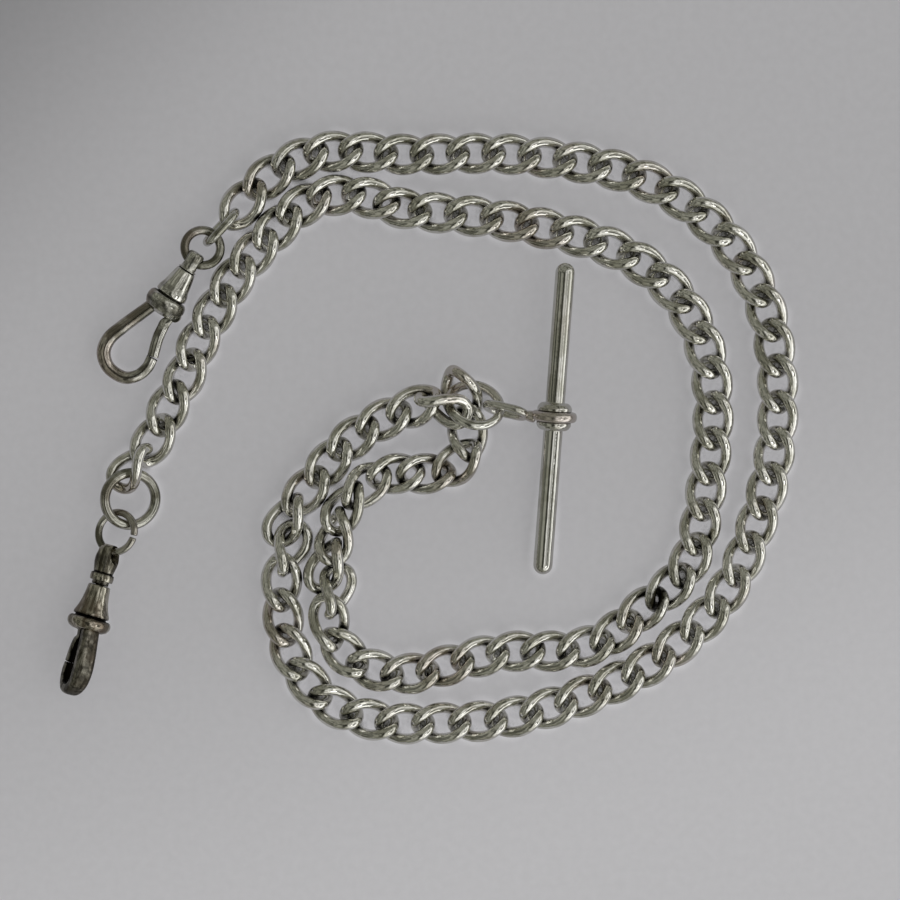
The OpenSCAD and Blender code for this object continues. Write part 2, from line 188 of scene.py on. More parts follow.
def silver_material(name, relief=0.05, **changes):
    """A worn silver finish, darker where the mesh's own recess value is high."""
    look = {**SILVER, **changes}
    material = bpy.data.materials.new(name)
    material.use_nodes = True
    nodes, links = material.node_tree.nodes, material.node_tree.links
    shader = nodes["Principled BSDF"]
    shader.inputs["Metallic"].default_value = 1
    wear = nodes.new("ShaderNodeGroup")
    wear.node_tree = bpy.data.node_groups.get("worn_silver") or worn_silver_group()
    for socket, value in look.items():
        wear.inputs[socket].default_value = value
    recess = nodes.new("ShaderNodeAttribute")
    recess.attribute_name = "recess"
    links.new(recess.outputs["Fac"], wear.inputs["Recess"])
    bump = nodes.new("ShaderNodeBump")
    bump.inputs["Distance"].default_value = relief * MM
    bump.inputs["Strength"].default_value = 1
    links.new(wear.outputs["Relief"], bump.inputs["Height"])
    links.new(wear.outputs["Colour"], shader.inputs["Base Color"])
    links.new(wear.outputs["Roughness"], shader.inputs["Roughness"])
    links.new(bump.outputs["Normal"], shader.inputs["Normal"])
    return material


def unit(v):
    return v / np.linalg.norm(v, axis=-1, keepdims=True)


def wire_skin(line, outs, sides, half, closed=True):
    """Points of a round wire's skin: one ring of corners round each point of its line."""
    if closed:
        along = unit(np.roll(line, -1, 0) - np.roll(line, 1, 0))
    else:
        along = unit(np.gradient(line, axis=0))
    outs = unit(outs - along * np.sum(outs * along, axis=1, keepdims=True))
    across = np.cross(along, outs)
    u = (np.arange(sides) * 2 * np.pi / sides)[None, :, None]
    half = np.broadcast_to(half, len(line))[:, None, None]
    skin = (
        line[:, None, :]
        + half * np.cos(u) * outs[:, None, :]
        + half * np.sin(u) * across[:, None, :]
    )
    return skin.reshape(-1, 3)


def skin_faces(rings, sides, closed=True, start=0):
    """Four sided faces between neighbouring rings of a wire's skin."""
    faces = []
    for k in range(rings if closed else rings - 1):
        k2 = (k + 1) % rings
        for j in range(sides):
            j2 = (j + 1) % sides
            faces.append(
                (
                    start + k * sides + j,
                    start + k * sides + j2,
                    start + k2 * sides + j2,
                    start + k2 * sides + j,
                )
            )
    return faces


def keep_place(mesh):
    """Notes where each point is now, in the piece's own frame: its streaks and wear follow that."""
    places = np.empty(3 * len(mesh.vertices), np.float32)
    mesh.vertices.foreach_get("co", places)
    noted = mesh.attributes.get("own_place")
    noted = noted or mesh.attributes.new("own_place", "FLOAT_VECTOR", "POINT")
    noted.data.foreach_set("vector", places)


def new_piece(name, points, faces, material, recess=None):
    """A smooth shaded mesh object with its recess value at each point."""
    mesh = bpy.data.meshes.new(name)
    mesh.from_pydata([tuple(p) for p in points], [], faces)
    keep_place(mesh)
    values = np.zeros(len(points)) if recess is None else recess
    attribute = mesh.attributes.new("recess", "FLOAT", "POINT")
    attribute.data.foreach_set("value", values.astype(np.float32))
    mesh.shade_smooth()
    mesh.materials.append(material)
    piece = bpy.data.objects.new(name, mesh)
    bpy.context.scene.collection.objects.link(piece)
    return piece


def link_line(t):
    """Middle line of a curb link in its own frame, with both ends twisted out of flat."""
    c, s = np.cos(t), np.sin(t)
    x = np.sign(c) * np.abs(c) ** (2 / LINK["round"])
    y = LINK["width"] / 2 * np.sign(s) * np.abs(s) ** (2 / LINK["round"])
    turn = -math.radians(LINK["twist"]) * x
    return np.stack([LINK["length"] / 2 * x, y * np.cos(turn), y * np.sin(turn)], 1) * MM


def solid_places(node):
    """Middle and three axes of each loose link in a CAD strand, worked out from its corners."""
    bm = bmesh.new()
    bm.from_mesh(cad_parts[node].data)
    bmesh.ops.remove_doubles(bm, verts=bm.verts, dist=1e-6)
    seen, places = set(), []
    for first in bm.verts:
        if first in seen:
            continue
        group, waiting = [], [first]
        seen.add(first)
        while waiting:
            vert = waiting.pop()
            group.append(vert.co[:])
            for edge in vert.link_edges:
                other = edge.other_vert(vert)
                if other not in seen:
                    seen.add(other)
                    waiting.append(other)
        corners = np.array(group)
        middle = corners.mean(0)
        axes = np.linalg.eigh(np.cov((corners - middle).T))[1]
        x, y = axes[:, 2], axes[:, 1]
        places.append((middle, np.stack([x, y, np.cross(x, y)])))
    bm.free()
    return places


def smooth_step(value):
    value = np.clip(value, 0, 1)
    return value * value * (3 - 2 * value)


link_t = (np.arange(LINK_STEPS) + 0.5) * 2 * np.pi / LINK_STEPS
plain_line = link_line(link_t)
wire_r = LINK["wire"] / 2 * MM
silver = silver_material("curb_link_silver", relief=0.095, Polish=0.045)
placed_links = {name: solid_places(node) for name, node in STRANDS.items()}
all_lines = [
    middle + plain_line @ axes for places in placed_links.values() for middle, axes in places
]


def nearest(points, others):
    """Distance from each point to the nearest of the others."""
    return np.sqrt(((points[:, None, :] - others[None, :, :]) ** 2).sum(2)).min(1)


number = 0
for name, node in STRANDS.items():
    points, faces, recess = [], [], []
    for middle, axes in placed_links[name]:
        line = all_lines[number]
        near = np.concatenate(
            [
                other
                for k, other in enumerate(all_lines)
                if k != number and np.linalg.norm(other.mean(0) - middle) < NEIGHBOUR_REACH
            ]
        )
        half = min(wire_r, nearest(line, near).min() / 2)
        skin = wire_skin(line, line - middle, WIRE_SIDES, half)
        # Darkening near the neighbouring links, as grime and painted shade, and the patches of
        # painted shade.
        gap = (nearest(skin, near) - half) / GRIME_AND_SHADE_REACH
        darkening = smooth_step(1 - gap)
        for x, y, reach, strength in SHADE_PATCHES:
            away = np.hypot(skin[:, 0] / MM - x, skin[:, 1] / MM - y)
            shade_patch = smooth_step(SHADE_PATCH_EDGE * (1 - away / reach))
            shade_patch = shade_patch * smooth_step(SHADE_PATCH_DEPTH - gap)
            darkening = np.maximum(darkening, strength * shade_patch)
        recess.append(darkening)
        faces += skin_faces(LINK_STEPS, WIRE_SIDES, start=len(points) * len(skin))
        points.append(skin)
        number += 1
    strand = new_piece(name, np.concatenate(points), faces, silver, np.concatenate(recess))
    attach(strand, "chains")
    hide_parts(node)


# The double strand ends at clip a in one long plain link and a round ring, both of thinner wire,
# bent shut and soldered. At clip b there are a large ring and an open jump ring, whose cut ends
# don't quite meet. A stout ring gathers both strands and the bar's shank at the middle.
def on_slope(rise_x, rise_y):
    """Turn that lays a flat ring on a slope rising by these shares along x and y."""
    return Matrix.Rotation(
        math.atan(math.hypot(rise_x, rise_y)), 3, Vector((rise_y, -rise_x, 0))
    )


def moved(points, turn, middle):
    """Points turned about the origin and then carried to a middle given in millimetres."""
    return points @ np.array(turn).T + np.array(middle) * MM


def circle_line(radius, steps, start=0.0, sweep=360.0):
    """Middle line of a ring, or of an open one with both its ends where it sweeps less."""
    count = steps if sweep == 360 else steps + 1
    a = np.radians(start + sweep * np.arange(count) / steps)
    return np.stack([radius * np.cos(a), radius * np.sin(a), 0 * a], 1) * MM


def grime_and_shade_from(points, others, reach):
    """Recess value that grows where a point comes near the points of another piece: grime and
    painted shade where they touch.
    """
    return smooth_step(1 - nearest(points, others) / reach)


def end_caps(rings, sides):
    """Faces that close both ends of an open skin."""
    last = (rings - 1) * sides
    return [tuple(range(sides - 1, -1, -1)), tuple(range(last, last + sides))]


RING_SIDES = 24
RING_NEIGHBOUR_REACH = 12 * MM
# How far from the links a ring is darkened, as grime and painted shade.
RING_GRIME_AND_SHADE_REACH = 1.5 * MM
# A cut end's thickness, as a share of the wire's.
CUT_END = 0.86


def ring_piece(name, node, line, wire, material, closed=True):
    """A ring of round wire that stands for its CAD solid, darkened where the links rub it, as grime
    and painted shade.
    """
    middle = line.mean(0)
    half = np.full(len(line), wire / 2 * MM)
    if not closed:
        half[[0, -1]] *= CUT_END
    skin = wire_skin(line, line - middle, RING_SIDES, half, closed)
    faces = skin_faces(len(line), RING_SIDES, closed)
    if not closed:
        faces += end_caps(len(line), RING_SIDES)
    near = [
        other
        for other in all_lines
        if np.linalg.norm(other.mean(0) - middle) < RING_NEIGHBOUR_REACH
    ]
    # Grime and painted shade where the links come near.
    darkening = grime_and_shade_from(skin, np.concatenate(near), RING_GRIME_AND_SHADE_REACH)
    piece = new_piece(name, skin, faces, material, darkening)
    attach(piece, "chains")
    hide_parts(node)


def long_link_line(length, width, wire, steps=18):
    """Middle line of a long link: two straight sides and two round ends."""
    bend, straight = (width - wire) / 2, (length - width) / 2
    a = np.radians(np.linspace(-90, 90, steps))
    end = np.stack([straight + bend * np.cos(a), bend * np.sin(a), 0 * a], 1)
    other = end * np.array([-1, -1, 1])
    side = np.linspace(0, 1, 8)[1:-1, None]
    return MM * np.concatenate(
        [
            end,
            end[-1] + (other[0] - end[-1]) * side,
            other,
            other[-1] + (end[0] - other[-1]) * side,
        ]
    )


ring_silver = silver_material(
    "ring_silver",
    Clean=(0.82, 0.815, 0.77, 1),
    Dull=(0.22, 0.215, 0.16, 1),
    Dulling=0.85,
    Polish=0.07,
)
grey_silver = silver_material(
    "grey_silver",
    Clean=(0.53, 0.53, 0.48, 1),
    Dull=(0.17, 0.167, 0.125, 1),
    Dulling=0.9,
    Blooming=0.2,
    Polish=0.12,
)
brown_silver = silver_material(
    "brown_silver",
    Clean=(0.52, 0.51, 0.46, 1),
    Dull=(0.15, 0.145, 0.11, 1),
    Bloom=(0.36, 0.29, 0.26, 1),
    Dulling=0.95,
    Polish=0.12,
)
# Round rings: name, CAD node, radius of the middle line, wire, middle, slope, finish and slot.
for name, node, radius, wire, middle, slope, material, slot in [
    ("clip_a_round_ring", "clip_a_ring", 2.32, 1.17, (-29.3, 24.6, 2.65), (-0.17, -0.15),
     brown_silver, "silver"),
    ("clip_b_wide_ring", "clip_b_ring_large", 3.4, 1.3, (-38.74, -8, 1.94), (-0.38, 0.1),
     grey_silver, "worn_silver"),
    ("middle_ring", "centre_ring", 3.4, 1.2, (6, 4.2, 2.9), (-0.25, -0.8),
     ring_silver, "silver"),
]:
    line = moved(circle_line(radius, 96), on_slope(*slope), middle)
    ring_piece(name, node, line, wire, material)

# The jump ring's cut, in degrees: how wide it gapes and where its middle is.
JUMP_GAP = 7
JUMP_START = -14
jump_line = moved(
    circle_line(2.6, 90, JUMP_START + JUMP_GAP / 2, 360 - JUMP_GAP),
    on_slope(0.42, -0.2),
    (-40.52, -12.3, 2.17),
)
ring_piece(
    "clip_b_jump_ring", "clip_b_ring_small", jump_line, 0.95, brown_silver, False
)

LONG_LINK_WIRE = 1.1
long_link = moved(
    long_link_line(6.5, 4.8, LONG_LINK_WIRE),
    Matrix.Rotation(math.radians(227), 3, "Z") @ Matrix.Rotation(math.radians(78), 3, "X"),
    (-26.9, 27.3, 2.45),
)
ring_piece("clip_a_long_link", "clip_a_link", long_link, LONG_LINK_WIRE, ring_silver)


# Each swivel clip is turned from solid silver: a drilled eye on a post that turns in a bell, the
# bell's rounded flange with the hook forged from it, and a sprung gate on a pin through the
# flange. Clip a is bright; clip b has gone brown and black in its grooves.
def clip_place(x, y, z, yaw, pitch, roll):
    """A clip's own frame: x along it from eye to hook, y across in the hook's plane."""
    return (
        Matrix.Translation(Vector((x, y, z)) * MM)
        @ Matrix.Rotation(math.radians(yaw), 4, "Z")
        @ Matrix.Rotation(math.radians(-pitch), 4, "Y")
        @ Matrix.Rotation(math.radians(roll), 4, "X")
    )


def eased(profile, radius):
    """A profile with its corners rounded off."""
    rows = np.array(profile, float)
    points = [rows[0]]
    for before, corner, after in zip(rows, rows[1:], rows[2:]):
        to_before, to_after = before - corner, after - corner
        a = min(radius / np.linalg.norm(to_before), 0.48)
        b = min(radius / np.linalg.norm(to_after), 0.48)
        first, last = corner + a * to_before, corner + b * to_after
        for t in np.linspace(0, 1, 5):
            points.append(
                (1 - t) ** 2 * first + 2 * t * (1 - t) * corner + t**2 * last
            )
    points.append(rows[-1])
    return np.array(points)


def turned(profile, steps=72):
    """Points and faces of a form turned about x, from rows of radius and distance along it."""
    a = np.arange(steps) * 2 * np.pi / steps
    radius, along = profile[:, 0], profile[:, 1]
    points = np.stack(
        [
            np.repeat(along, steps),
            np.outer(radius, np.cos(a)).ravel(),
            np.outer(radius, np.sin(a)).ravel(),
        ],
        1,
    )
    faces = skin_faces(len(profile), steps, False) + end_caps(len(profile), steps)
    return points * MM, faces


def along_rows(rows, t):
    """Smooth way through the rows of a table, t counted in rows."""
    i = min(int(t), len(rows) - 2)
    u = t - i
    p, q = rows[i], rows[i + 1]
    m = (q - rows[max(i - 1, 0)]) / (2 if i > 0 else 1)
    n = (rows[min(i + 2, len(rows) - 1)] - p) / (2 if i < len(rows) - 2 else 1)
    return (
        (2 * u**3 - 3 * u**2 + 1) * p
        + (u**3 - 2 * u**2 + u) * m
        + (3 * u**2 - 2 * u**3) * q
        + (u**3 - u**2) * n
    )


# How far a bent bar's rounded end reaches, and its last three rings: reach and size as shares.
BAR_TIP = 0.12
TIP_RINGS = [(0.6, 0.97), (0.9, 0.88), (1, 0.72)]


def bent_bar(table, corners, ease, steps=12):
    """A bar bent in the clip's plane through a table of along, across, depth and breadth.

    The section's corners run from the inside of the bend over the top. Gives the bar's points,
    its faces and how far each point faces to the left of the bar's way: from -1 to 1."""
    rows = np.array(table, float)
    start = (np.array(corners[-1], float) + corners[0]) / 2
    section = eased([start, *corners, start], ease)[:-1]
    c, s, sides = section[:, 0], section[:, 1], len(section)
    places = np.linspace(0, len(rows) - 1, (len(rows) - 1) * steps + 1)
    row = np.array([along_rows(rows, t) for t in places])
    line = np.stack([row[:, 0], row[:, 1], 0 * row[:, 0]], 1)
    along = unit(np.gradient(line, axis=0))
    inward = np.stack([-along[:, 1], along[:, 0], 0 * along[:, 0]], 1)
    rings = [
        line[k] + row[k, 2] / 2 * c[:, None] * inward[k] + row[k, 3] / 2 * s[:, None] * [0, 0, 1]
        for k in range(len(line))
    ]
    for k, sign in [(0, -1), (len(line) - 1, 1)]:
        middle = line[k]
        outward = sign * along[k] * BAR_TIP
        cap = [
            middle + (rings[k] - middle) * scale + outward * (reach - 1)
            for reach, scale in TIP_RINGS
        ]
        rings[k] = rings[k] - outward
        if sign < 0:
            rings = cap[::-1] + rings
        else:
            rings = rings + cap
    points = np.concatenate(rings)
    faces = skin_faces(len(rings), sides, False) + end_caps(len(rings), sides)
    return points * MM, faces, np.tile(c, len(rings))


def cut_away(piece, cutter):
    """Cuts one mesh out of another and throws the cutter away."""
    modifier = piece.modifiers.new("cut", "BOOLEAN")
    modifier.operation, modifier.solver, modifier.object = "DIFFERENCE", "EXACT", cutter
    depsgraph = bpy.context.evaluated_depsgraph_get()
    mesh = bpy.data.meshes.new_from_object(piece.evaluated_get(depsgraph))
    piece.modifiers.clear()
    piece.data = mesh
    bpy.data.objects.remove(cutter)


# Edges bent more sharply than this stay crisp.
CRISP_EDGE = math.radians(48)


def joined(name, pieces, turn):
    """One object from several, set in the place that turn gives, with crisp edges kept."""
    bm = bmesh.new()
    for piece in pieces:
        bm.from_mesh(piece.data)
    material = pieces[0].data.materials[0]
    for piece in pieces:
        bpy.data.objects.remove(piece)
    bmesh.ops.recalc_face_normals(bm, faces=bm.faces)
    mesh = bpy.data.meshes.new(name)
    bm.to_mesh(mesh)
    bm.free()
    keep_place(mesh)
    mesh.transform(turn)
    mesh.shade_smooth()
    mesh.set_sharp_from_angle(angle=CRISP_EDGE)
    mesh.materials.clear()
    mesh.materials.append(material)
    whole = bpy.data.objects.new(name, mesh)
    bpy.context.scene.collection.objects.link(whole)
    return whole


def block(low, high):
    """A plain cutter with these corners, in millimetres."""
    x, y, z = zip(low, high)
    corners = [(a * MM, b * MM, c * MM) for a in x for b in y for c in z]
    faces = [(0, 1, 3, 2), (4, 6, 7, 5), (0, 4, 5, 1), (2, 3, 7, 6), (0, 2, 6, 4), (1, 5, 7, 3)]
    return new_piece("cutter", corners, faces, silver)


def round_pin(name, size, x, y, material):
    """A short round pin across the clip, with eased edges."""
    radius, half = size["radius"], size["half"]
    profile = eased([(0, -half), (radius, -half), (radius, half), (0, half)], 0.06)
    points, faces = turned(profile, 32)
    points = points[:, [1, 2, 0]] + np.array([x, y, 0]) * MM
    return new_piece(name, points, faces, material)


def grooves(points, places):
    """Recess value round the axis at the grooves: rows of distance along, reach and depth."""
    along = points[:, 0] / MM
    value = np.zeros(len(points))
    for at, reach, depth in places:
        value = np.maximum(value, depth * smooth_step(1 - np.abs(along - at) / reach))
    return value


# The gate's pin, its hole in the gate, the gate's knuckle round it and the slot in the flange.
PIN = {"radius": 0.3, "half": 1.5}
PIN_HOLE = {"radius": 0.36, "half": 1}
KNUCKLE = {"radius": 0.75, "half": 0.45}
SLOT = {"behind": 0.85, "ahead": 4, "inward": 1.75, "outward": 2, "half": 0.5}
DRILL_HALF = 2.2
# Eased edges, and how much of a bent bar's inside is darkened, as painted shade with grime.
EASE = {"eye": 0.1, "bell": 0.14, "drill": 0.5}
INSIDE_EDGE = 2.5
SEAM_REACH = 0.35

# Both clips in millimetres, in their own frames. place: x, y, z, yaw, pitch and roll. eye and bell:
# radius and distance along. hole: distance along, radius, its mouth's, flatness and turn. hook and
# gate: along, across, depth and breadth. darkening: distance along, reach and strength. seam: where
# hook and gate meet. inside and soot: painted shade with grime on the inner faces, and grime all
# over.
CLIPS = {
    "clip_a": {
        "place": (-33.5, 18.3, 2.8, 236.8, -5, 0),
        "slot": "silver",
        "eye": [
            (0, -6.7), (0.8, -6.68), (1.06, -6.5), (1.13, -6.16), (1.15, -5.67), (1.13, -5.11),
            (1.08, -4.54), (1, -4.27), (1.17, -4.25), (1.25, -4.15), (1.17, -4.05),
            (0.5, -4.05), (0.5, -3.05), (0, -3.05),
        ],
        "hole": (-5.3, 0.78, 0.96, 0.8, 0),
        "bell": [
            (0.55, -4), (1.15, -4), (1.3, -3.85), (1.52, -2.85), (1.8, -1.5), (2.06, -0.8),
            (2.1, -0.4), (2.1, -0.2), (2, -0.12), (1.8, -0.1), (1.8, 0.1), (2.32, 0.12),
            (2.59, 0.42), (2.7, 0.92), (2.65, 1.5), (2.35, 2.12), (1.84, 2.47), (1.08, 2.62),
            (0, 2.62),
        ],
        "hook": [
            (2, -1.3, 1.75, 2.2), (4.6, -2.3, 1.8, 2.2), (6.6, -3.05, 1.85, 2.2),
            (8.9, -3.73, 1.9, 2.1), (10.9, -3.35, 1.85, 2), (12.2, -1.7, 1.75, 1.8),
            (12.2, 0.6, 1.7, 1.7), (11, 2, 1.6, 1.6), (9.4, 2.52, 1.6, 1.5), (8, 2.38, 1.55, 1.4),
        ],
        "gate": [
            (2.2, 1.7, 0.9, 0.9), (3.2, 1.32, 1.45, 0.9), (4, 1.36, 1.5, 1.4),
            (5.6, 1.62, 1.55, 1.5), (7.83, 2.32, 1.5, 1.4),
        ],
        "hinge": (1.85, 2),
        "darkening": [
            (0, 0.3, 1), (-4.02, 0.2, 1), (-5.2, 1.3, 0.55), (-1.1, 0.6, 0.6), (1.4, 1, 0.65),
        ],
        "seam": 7.9,
        "section": [(1, -0.6), (1, 0.6), (0.15, 1), (-0.95, 0.5), (-0.95, -0.5), (0.15, -1)],
        "ease": 0.5,
        "inside": 0.0,
        "soot": 0.25,
    },
    "clip_b": {
        "place": (-43.8, -23.3, 2.95, 254.5, 4.5, -118),
        "slot": "dark_silver",
        "eye": [
            (0, -9.75), (0.79, -9.71), (1.23, -9.44), (1.5, -8.89), (1.58, -8.11), (1.53, -7.21),
            (1.36, -6.32), (1.26, -5.85), (1.48, -5.85), (1.56, -5.35), (1.48, -4.85),
            (1.1, -4.85), (1.1, -4.35), (0.5, -4.35), (0.5, -3.35), (0, -3.35),
        ],
        "hole": (-8.7, 0.8, 1.5, 1, 143),
        "bell": [
            (0.55, -4.3), (1.3, -4.3), (1.45, -4.15), (1.55, -3.3), (1.72, -2.2), (1.98, -1.3),
            (2.34, -0.45), (2.34, -0.2), (2.24, -0.12), (2.04, -0.1), (2.04, 0.1), (2.46, 0.12),
            (2.75, 0.34), (2.86, 0.7), (2.8, 1.11), (2.49, 1.56), (1.94, 1.81), (1.14, 1.92),
            (0, 1.92),
        ],
        "hook": [
            (1.4, -1.2, 1.6, 2.2), (3.4, -1.7, 1.6, 2.35), (5.2, -2.1, 1.6, 2.5),
            (7, -2.3, 1.6, 2.55), (8.6, -1.95, 1.5, 2.4), (9.6, -0.7, 1.4, 2.2),
            (9.55, 0.8, 1.35, 2), (8.7, 1.75, 1.3, 1.8), (7.5, 2.15, 1.3, 1.7),
            (6.4, 2.1, 1.3, 1.6),
        ],
        "gate": [
            (1.55, 1.8, 0.9, 0.9), (2.6, 1.45, 1.2, 0.9), (3.3, 1.5, 1.2, 1.5),
            (4.6, 1.75, 1.2, 1.7), (6.23, 2.08, 1.2, 1.6),
        ],
        "hinge": (1.2, 2.1),
        "darkening": [
            (0, 0.65, 1), (-4.55, 0.55, 1), (-5.9, 0.45, 1), (2.1, 0.5, 1), (-7.6, 2.6, 0.6),
        ],
        "seam": 6.3,
        "section": [
            (1, -0.75), (1, 0.75), (0.55, 1), (-0.55, 1), (-1, 0.6), (-1, -0.6), (-0.55, -1),
            (0.55, -1),
        ],
        "ease": 0.35,
        "inside": 1.0,
        "soot": 0.66,
    },
}
clip_silver = {
    "clip_a": silver_material(
        "clip_a_silver",
        Clean=(0.84, 0.83, 0.78, 1),
        Dull=(0.15, 0.142, 0.105, 1),
        Bloom=(0.5, 0.4, 0.34, 1),
        Dulling=0.85,
        Blooming=0.6,
        Streaks=0.5,
        Polish=0.06,
    ),
    "clip_b": silver_material(
        "clip_b_silver",
        Clean=(0.6, 0.57, 0.49, 1),
        Dull=(0.09, 0.08, 0.055, 1),
        Bloom=(0.3, 0.22, 0.17, 1),
        # A blacker near-black for grime and painted shade.
        Grime=(0.006, 0.005, 0.004, 1),
        Dulling=0.85,
        Streaks=0.9,
        Polish=0.1,
    ),
}
for clip, size in CLIPS.items():
    material = clip_silver[clip]
    place = clip_place(*size["place"])
    points, faces = turned(eased(size["eye"], EASE["eye"]), 56)
    eye = new_piece("eye", points, faces, material, grooves(points, size["darkening"]))
    at, hole, mouth, flat, turn = size["hole"]
    flare = hole + (mouth - hole) * DRILL_HALF / max(radius for radius, along in size["eye"])
    drill = [(0, -DRILL_HALF), (flare, -DRILL_HALF), (hole, 0), (flare, DRILL_HALF)]
    drill = eased([*drill, (0, DRILL_HALF)], EASE["drill"])
    points, faces = turned(drill, 48)
    points = points[:, [1, 0, 2]] * [1, 1, flat]
    cutter = new_piece("drill", points, [f[::-1] for f in faces], material, np.ones(len(points)))
    cutter.data.transform(
        Matrix.Translation((at * MM, 0, 0)) @ Matrix.Rotation(math.radians(turn), 4, "X")
    )
    cut_away(eye, cutter)
    eye_piece = joined(clip + "_drilled_eye", [eye], place)
    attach(eye_piece, "chains")
    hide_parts(clip + "_eye")

    points, faces = turned(eased(size["bell"], EASE["bell"]))
    bell = new_piece("bell", points, faces, material, grooves(points, size["darkening"]))
    hinge_x, hinge_y = size["hinge"]
    slot_low = (hinge_x - SLOT["behind"], hinge_y - SLOT["inward"], -SLOT["half"])
    slot_high = (hinge_x + SLOT["ahead"], hinge_y + SLOT["outward"], SLOT["half"])
    cut_away(bell, block(slot_low, slot_high))
    points, faces, facing = bent_bar(size["hook"], size["section"], size["ease"])
    seam = grooves(points, [(size["seam"], SEAM_REACH, 1)]) * (points[:, 1] > 0)
    # The hook's inner faces are darkened: painted shade, with grime.
    inside = size["inside"] * smooth_step(INSIDE_EDGE * facing - 1)
    darkening = np.maximum(np.maximum(seam, size["soot"]), inside)
    hook = new_piece("hook", points, faces, material, darkening)
    pin = round_pin("pin", PIN, hinge_x, hinge_y, material)
    barrel = joined(clip + "_bell_and_hook", [bell, hook, pin], place)
    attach(barrel, clip + "_barrel")
    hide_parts(clip + "_barrel")

    points, faces, facing = bent_bar(size["gate"], size["section"], size["ease"], steps=10)
    seam = grooves(points, [(size["seam"], SEAM_REACH, 1)])
    # The gate's inner faces are darkened the same way: painted shade, with grime.
    inside = size["inside"] * smooth_step(-INSIDE_EDGE * facing - 1)
    darkening = np.maximum(np.maximum(seam, size["soot"]), inside)
    flap = new_piece("flap", points, faces, material, darkening)
    knuckle = round_pin("knuckle", KNUCKLE, hinge_x, hinge_y, material)
    for part in (flap, knuckle):
        cut_away(part, round_pin("pin_hole", PIN_HOLE, hinge_x, hinge_y, material))
    gate = joined(clip + "_sprung_gate", [flap, knuckle], place)
    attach(gate, clip + "_gate")
    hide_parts(clip + "_gate")


# The bar is a turned silver rod with round ends. A band turns freely on it between two ridges,
# and the shank, a long narrow loop of wire, is soldered to the band with an untidy blob.
BAR = {"radius": 1.25, "length": 40.6, "shift": 0.36}
# One of the two ridges: radius and distance from the band's middle.
RIDGE = [(1.25, 1.77), (1.7, 1.77), (2, 1.55), (2.25, 1.15), (2.25, 0.73), (1.25, 0.72)]
# Grime beside the band: distance along, reach and strength.
BAND_GRIME = [(0.7, 0.16, 0.9), (-0.7, 0.16, 0.9)]
bar_place = (
    Matrix.Translation(Vector((16.3, 2.73, 3)) * MM)
    @ Matrix.Rotation(math.radians(-4.2), 4, "Z")
    @ Matrix.Rotation(math.radians(4.9 - 90), 4, "X")
    @ Matrix.Rotation(math.radians(-90), 4, "Y")
)
low, high = -BAR["length"] / 2 - BAR["shift"], BAR["length"] / 2 - BAR["shift"]
quarter = np.radians(np.linspace(0, 90, 8))
round_end = [(BAR["radius"] * math.sin(a), BAR["radius"] * (1 - math.cos(a))) for a in quarter]
rod = [(r, low + d) for r, d in round_end]
rod += [(r, -d) for r, d in RIDGE]
rod += [(r, d) for r, d in RIDGE[::-1]]
rod += [(r, high - d) for r, d in round_end[::-1]]
points, faces = turned(eased(rod, 0.12), 64)
bar_silver = silver_material(
    "bar_silver",
    relief=0.03,
    Clean=(0.76, 0.755, 0.72, 1),
    Dulling=0.4,
    Blooming=0.15,
    Polish=0.07,
)
rod_piece = new_piece("rod", points, faces, bar_silver, grooves(points, BAND_GRIME))
bar = joined("turned_bar", [rod_piece], bar_place)
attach(bar, "t_bar")
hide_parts("t_bar")

# The band, radius and distance along. Its profile closes on itself, so it has no end caps.
BAND = [
    (1.3, -0.66), (2.6, -0.66), (2.88, -0.45), (3, 0), (2.88, 0.45), (2.6, 0.66), (1.3, 0.66),
    (1.3, -0.66),
]
points, faces = turned(eased(BAND, 0.2), 72)
faces = faces[:-2]
pink_silver = silver_material(
    "pink_silver",
    Clean=(0.78, 0.77, 0.73, 1),
    Bloom=(0.66, 0.59, 0.55, 1),
    Dulling=0.6,
    Blooming=0.8,
    Polish=0.17,
)
band = new_piece("band", points, faces, pink_silver)
band.data.transform(bar_place)
shank_place = (
    Matrix.Translation(Vector((13.1, 2.8, 2.95)) * MM)
    @ Matrix.Rotation(math.radians(166.5), 4, "Z")
    @ Matrix.Rotation(math.radians(9), 4, "Y")
)
SHANK = {"length": 6.3, "width": 4.2, "wire": 1.05}
SHANK_SIDES = 22
line = long_link_line(SHANK["length"], SHANK["width"], SHANK["wire"], 22)
skin = wire_skin(line, line - line.mean(0), SHANK_SIDES, SHANK["wire"] / 2 * MM)
loop = new_piece("loop", skin, skin_faces(len(line), SHANK_SIDES), ring_silver)
loop.data.transform(
    shank_place
    @ Matrix.Translation((SHANK["length"] / 2 * MM, 0, 0))
    @ Matrix.Rotation(math.radians(105), 4, "X")
)
# The blob of solder between the band and the loop: radius and distance along.
SOLDER = [(0, -0.9), (0.78, -0.8), (0.72, 0), (0.5, 0.8), (0, 0.85)]
points, faces = turned(eased(SOLDER, 0.3), 36)
neck = new_piece("neck", points, faces, ring_silver)
neck.data.transform(shank_place)
collar = joined("band_and_shank", [band, loop, neck], Matrix.Identity(4))
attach(collar, "chains")
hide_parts("bar_collar")


# Floor, light and camera: the chain lies on a pale board that glows by itself, a painted light, and
# is lit from all round, with one lamp to the lower right that draws the white streaks; the dark
# room above shows in the silver.
BOARD_HALF = 0.6
BOARD_TINT = {"Red": 1.0, "Green": 0.99, "Blue": 1.037}
# The painted shadow's colour right under the silver.
SHADOW_UNDER_SILVER = (0.028, 0.027, 0.016, 1)
